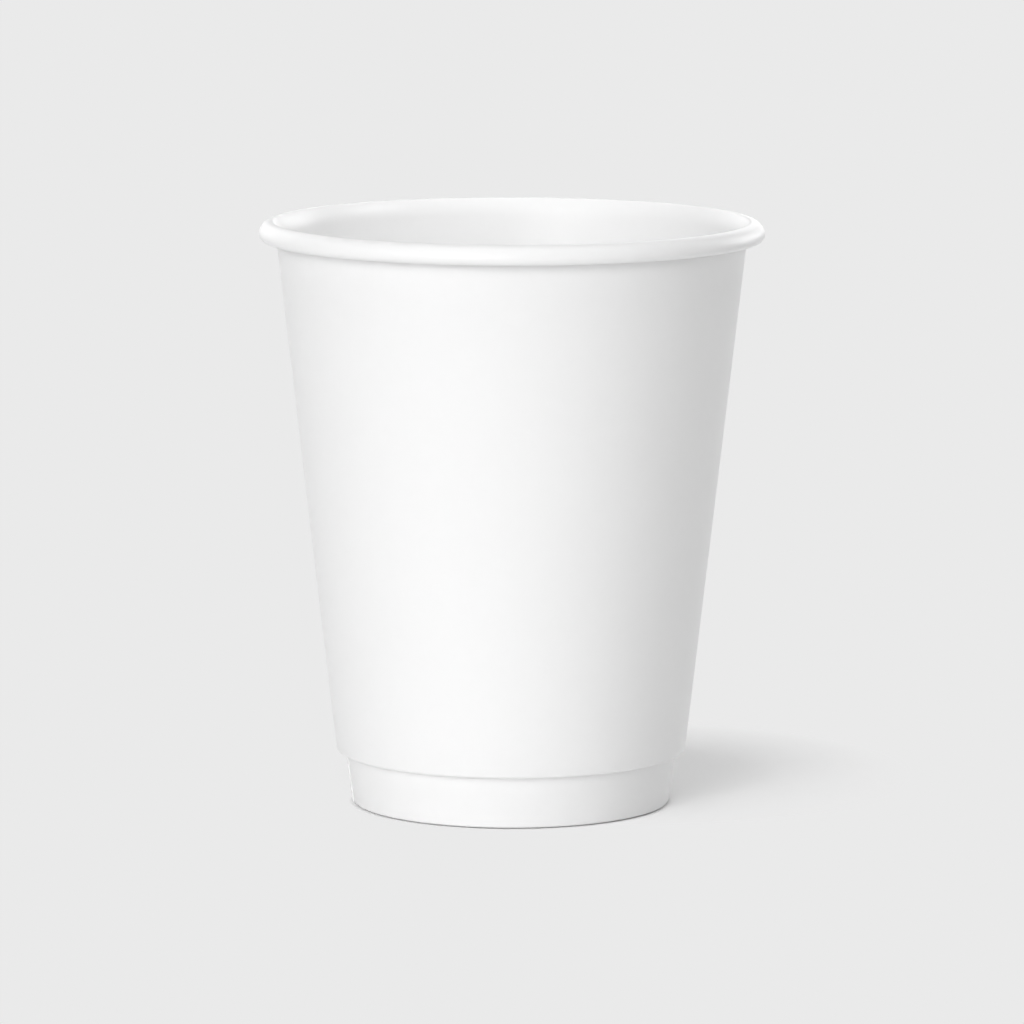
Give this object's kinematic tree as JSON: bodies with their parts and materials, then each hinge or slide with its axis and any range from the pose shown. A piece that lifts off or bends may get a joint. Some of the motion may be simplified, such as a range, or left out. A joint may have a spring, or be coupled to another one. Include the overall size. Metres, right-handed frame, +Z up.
{
  "type": "paper coffee cup",
  "caption": "Double-wall paper cup for hot drinks: a cone with a rolled rim, a hemmed base and an insulating outer wall that ends in a bead above the foot.",
  "frame": {"origin": "on the ground at the centre of the foot", "axes": "+Z up along the cup's axis, -Y towards the front, with the outer wall's side lap at the back and the inner cup's at -X"},
  "size_m": [0.08, 0.08, 0.0929],
  "materials": {
    "cup_board": "white board with a thin, faintly glossy plastic lining on the drink side",
    "base_board": "white board, lined on top",
    "outer_board": "smooth matt white board, unprinted"
  },
  "bodies": {
    "root": {"inner_cup": "cup_board", "bottom_disc": "base_board", "outer_wall": "outer_board"}
  },
  "joints": []
}
